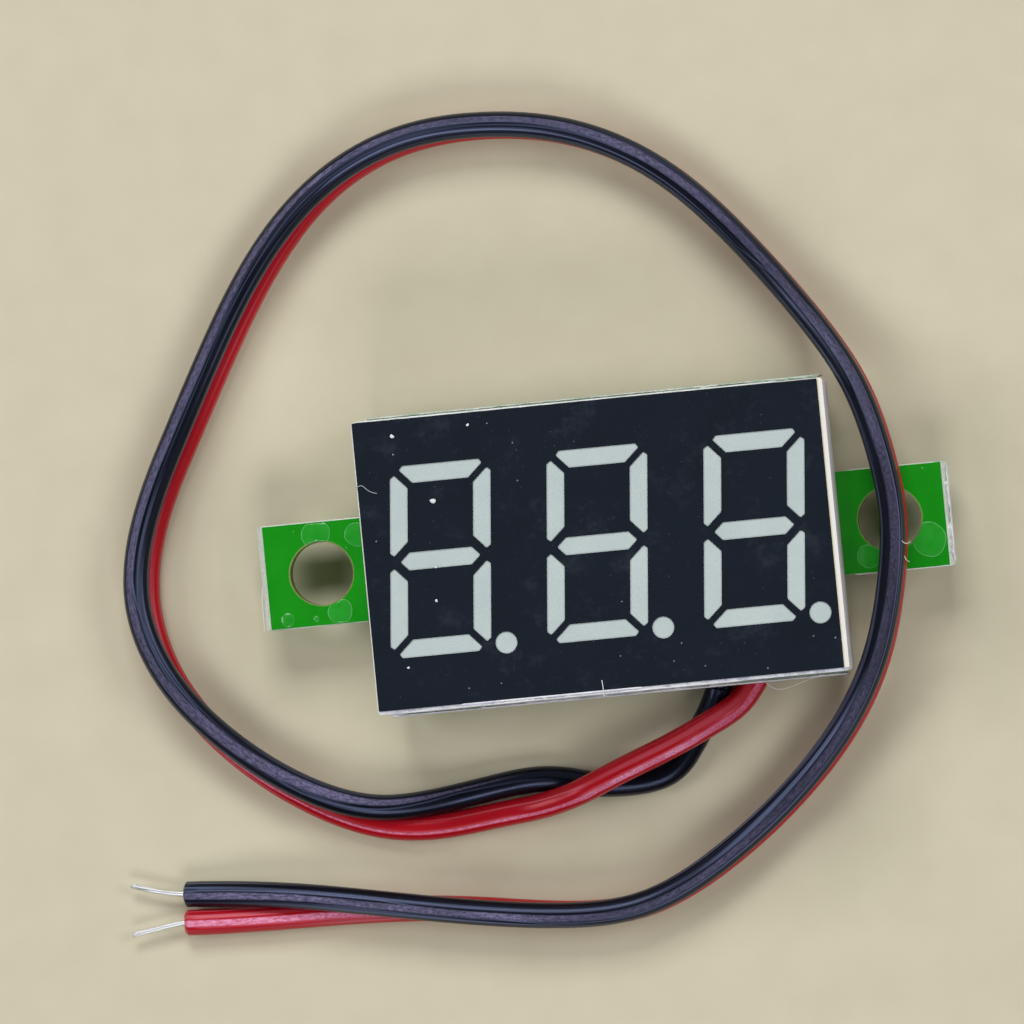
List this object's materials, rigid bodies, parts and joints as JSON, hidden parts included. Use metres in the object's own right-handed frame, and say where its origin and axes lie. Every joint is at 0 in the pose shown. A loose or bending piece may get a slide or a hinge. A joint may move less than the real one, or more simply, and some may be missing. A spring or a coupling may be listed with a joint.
{
  "type": "digital panel meter",
  "caption": "Small seven-segment panel voltmeter: white display block with a black face on a green board with two screw ears, and a loose red and black supply lead.",
  "frame": {"origin": "middle of the meter's base box, on the table that its pin ends stand on", "axes": "+Z out of the display's face, X along the two screw ears with the decimal points towards +X, +Y towards the top of the digits"},
  "size_m": [0.0423, 0.0403, 0.0104],
  "materials": {
    "board_laminate": "glass-fibre board under glossy green solder mask",
    "reflector_white": "moulded white reflector plastic",
    "face_ink": "satin black ink",
    "segment_resin": "milky cast resin, ground flat",
    "display_laminate": "plain glass-fibre board",
    "lamp_chip": "red lamp chips",
    "tinned_pin": "tinned steel",
    "solder": "reflowed solder",
    "chip_epoxy": "moulded black epoxy",
    "tinned_lead": "tinned copper alloy",
    "resistor_glaze": "black glaze on ceramic",
    "capacitor_ceramic": "fired tan ceramic",
    "trimmer_ceramic": "white ceramic",
    "rotor_metal": "plated stamped metal",
    "tinned_strand": "tinned copper strands",
    "black_insulation": "soft black insulation",
    "red_insulation": "soft red insulation"
  },
  "bodies": {
    "meter": {"circuit_board": "board_laminate", "display_shell": "reflector_white", "black_face": "face_ink", "segment_resin": "segment_resin", "led_substrate": "display_laminate", "led_dice": "lamp_chip", "display_pins": "tinned_pin", "pin_solder": "solder", "microcontroller": "chip_epoxy", "microcontroller_leads": "tinned_lead", "regulator": "chip_epoxy", "regulator_leads": "tinned_lead", "diode": "chip_epoxy", "diode_leads": "tinned_lead", "resistor_bodies": "resistor_glaze", "resistor_ends": "tinned_lead", "capacitor_bodies": "capacitor_ceramic", "capacitor_ends": "tinned_lead", "trimmer_base": "trimmer_ceramic", "trimmer_terminals": "tinned_lead", "wire_solder": "solder", "black_root": "tinned_strand", "red_root": "tinned_strand", "black_wire": "black_insulation", "red_wire": "red_insulation", "black_tip": "tinned_strand", "red_tip": "tinned_strand"},
    "rotor": {"trimmer_rotor": "rotor_metal"}
  },
  "joints": [
    {"name": "trimmer_turn", "type": "hinge", "parent": "meter", "child": "rotor", "pos_m": [0.0041, 0.0012, 0.0006], "axis": [0, 0, 1], "range_deg": [-120, 120]}
  ]
}
